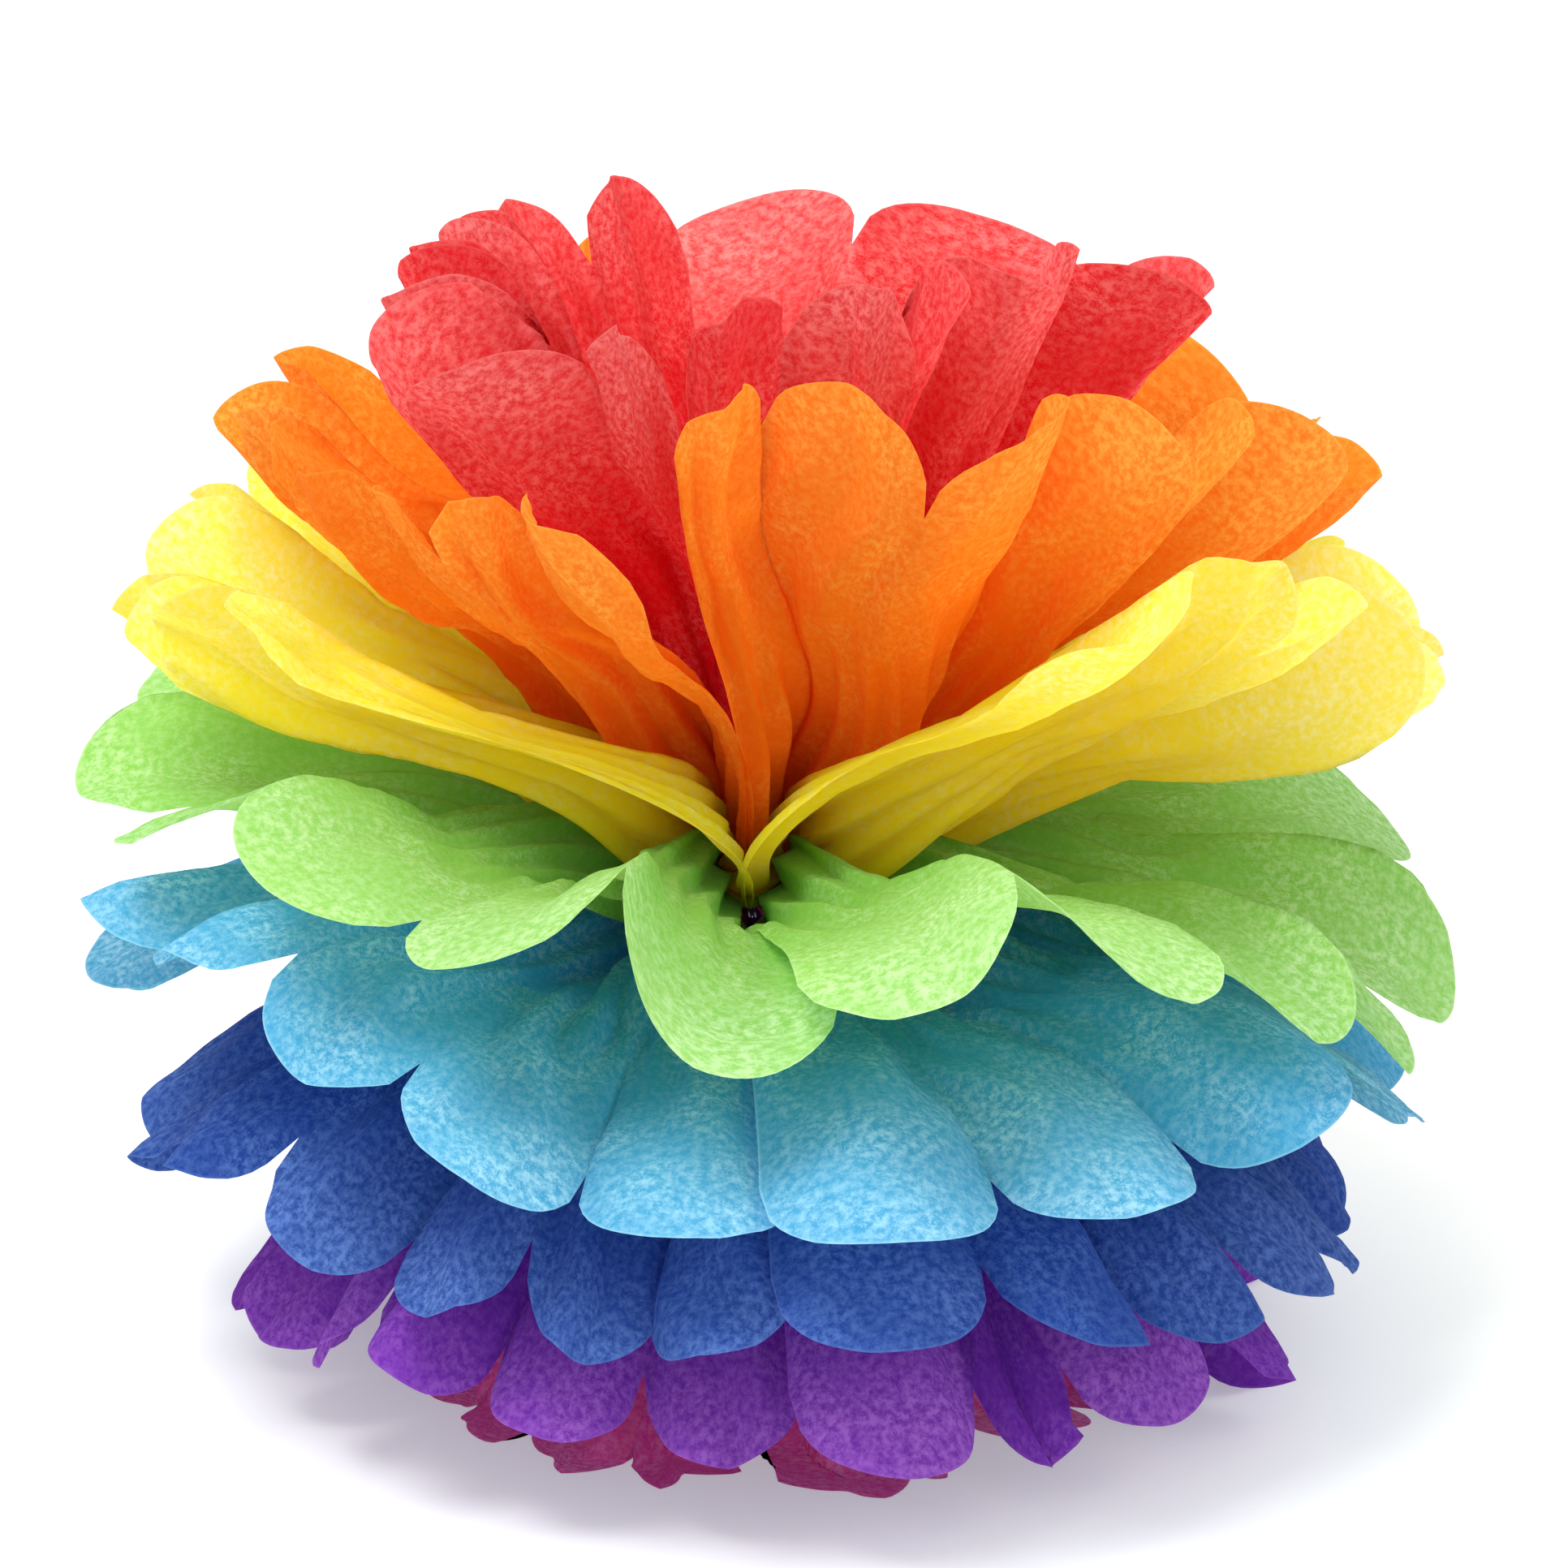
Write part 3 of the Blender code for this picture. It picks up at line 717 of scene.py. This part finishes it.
# %% [markdown]
# ## Thread and wire
#
# The thread is two thin yarns twisted together, dull and dark. The wire is thin drawn steel, a
# little streaky along its length. Both are hardly seen, but they are what holds the pom pom.

# %% The thread as a cord
thread_curve = bpy.data.curves.new("hanging_thread", "CURVE")
thread_curve.dimensions = "3D"
thread_curve.bevel_depth = THREAD_RADIUS
thread_curve.bevel_resolution = 3
thread_curve.use_fill_caps = True
spline = thread_curve.splines.new("POLY")
spline.points.add(len(loop_points) - 1)
for point, place_of_point in zip(spline.points, loop_points):
    point.co = (*place_of_point, 1)
thread = bpy.data.objects.new("hanging_thread", thread_curve)
bpy.context.scene.collection.objects.link(thread)

thread_material = bpy.data.materials.new("dark thread")
thread_material.use_nodes = True
thread_tree = thread_material.node_tree
thread_place = thread_tree.nodes.new("ShaderNodeTexCoord")
twist = add(thread_tree, "ShaderNodeTexWave", wave_type="BANDS", bands_direction="DIAGONAL",
            Scale=900.0, Distortion=1.0)
thread_tree.links.new(thread_place.outputs["Object"], twist.inputs["Vector"])
thread_shader = thread_tree.nodes["Principled BSDF"]
twist_colour = blend_colours(thread_tree, twist.outputs["Fac"], (0.05, 0.03, 0.045, 1),
                             (0.13, 0.09, 0.12, 1))
thread_tree.links.new(twist_colour, thread_shader.inputs["Base Color"])
thread_bump = add(thread_tree, "ShaderNodeBump", Strength=0.6, Distance=0.0001)
thread_tree.links.new(twist.outputs["Fac"], thread_bump.inputs["Height"])
thread_tree.links.new(thread_bump.outputs[0], thread_shader.inputs["Normal"])
thread_shader.inputs["Roughness"].default_value = 0.8
thread_curve.materials.append(thread_material)
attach(thread, "root")
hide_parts("hanging_loop")

# %% The wire's steel
steel = bpy.data.materials.new("drawn steel")
steel.use_nodes = True
steel_tree = steel.node_tree
steel_place = steel_tree.nodes.new("ShaderNodeTexCoord")
streaks = add(steel_tree, "ShaderNodeTexNoise", Scale=1800.0, Detail=3.0)
steel_tree.links.new(steel_place.outputs["Object"], streaks.inputs["Vector"])
steel_shader = steel_tree.nodes["Principled BSDF"]
steel_shader.inputs["Metallic"].default_value = 1.0
steel_colour = blend_colours(steel_tree, streaks.outputs[0], (0.42, 0.42, 0.43, 1),
                             (0.62, 0.62, 0.61, 1))
steel_roughness = remap(steel_tree, streaks.outputs[0], 0.3, 0.7, 0.28, 0.5)
steel_tree.links.new(steel_colour, steel_shader.inputs["Base Color"])
steel_tree.links.new(steel_roughness, steel_shader.inputs["Roughness"])
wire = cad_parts["waist_wire"]
for wire_slot in wire.material_slots:
    wire_slot.material = steel
print("wire has", len(wire.material_slots), "slot of steel")

# %% [markdown]
# ## Table and light
#
# The pom pom stands on a white table under broad soft light that comes from above and a little from
# the front, so only the places under it are in shade. The table's own white would go grey with the
# light at a plain level; a mild glow that only the camera and reflections see makes it white.

# %% The table
TABLE_HALF_SIDE = 4
TABLE_GLOW = 0.32
table_bm = bmesh.new()
bmesh.ops.create_grid(table_bm, x_segments=1, y_segments=1, size=TABLE_HALF_SIDE)
table_mesh = bpy.data.meshes.new("table")
table_bm.to_mesh(table_mesh)
table_bm.free()
table = bpy.data.objects.new("table", table_mesh)
bpy.context.scene.collection.objects.link(table)
table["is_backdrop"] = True
white = bpy.data.materials.new("white table")
white.use_nodes = True
white_tree = white.node_tree
white_shader = white_tree.nodes["Principled BSDF"]
white_shader.inputs["Base Color"].default_value = (0.80, 0.80, 0.80, 1)
white_shader.inputs["Roughness"].default_value = 0.9
white_shader.inputs["Emission Color"].default_value = (1, 1, 1, 1)
rays = white_tree.nodes.new("ShaderNodeLightPath")
seen = sums(white_tree, "MAXIMUM", rays.outputs["Is Camera Ray"], rays.outputs["Is Glossy Ray"])
seen = sums(white_tree, "MAXIMUM", seen, rays.outputs["Is Transmission Ray"])
glow = sums(white_tree, "MULTIPLY", seen, TABLE_GLOW)
white_tree.links.new(glow, white_shader.inputs["Emission Strength"])
table_mesh.materials.append(white)
print("table", tuple(round(side, 1) for side in table.dimensions))


# %% Lamps and sky
def soft_lamp(name, place_of_lamp, power, size):
    """A square area lamp that looks at the waist."""
    made = bpy.data.objects.new(name, bpy.data.lights.new(name, "AREA"))
    made.data.energy = power
    made.data.size = size
    made.location = place_of_lamp
    made.rotation_euler = (WAIST - made.location).to_track_quat("-Z", "Y").to_euler()
    bpy.context.scene.collection.objects.link(made)
    return made


soft_lamp("lamp above", Vector((-0.35, -0.45, 1.2)), 13.0, 0.6)
soft_lamp("lamp at the right", Vector((1.0, -0.5, 0.7)), 3.0, 0.8)
world = bpy.data.worlds.new("studio")
bpy.context.scene.world = world
world.use_nodes = True
sky = world.node_tree.nodes["Background"]
sky.inputs["Color"].default_value = (1, 1, 1, 1)
sky.inputs["Strength"].default_value = 0.88
bpy.context.scene.view_settings.view_transform = "Standard"

# %% [markdown]
# ## Sizes of the pom pom and its solids
#
# The sizes of the dressed pom pom and of the solids that stand for it are printed side by side.

# %% Sizes
size = {"cad": [list(corner) for corner in CAD_BOX], "visual": [list(corner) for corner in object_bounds()]}
for word, corners in size.items():
    print(word, [round((high - low) * 1000, 1) for low, high in zip(*corners)], "mm")
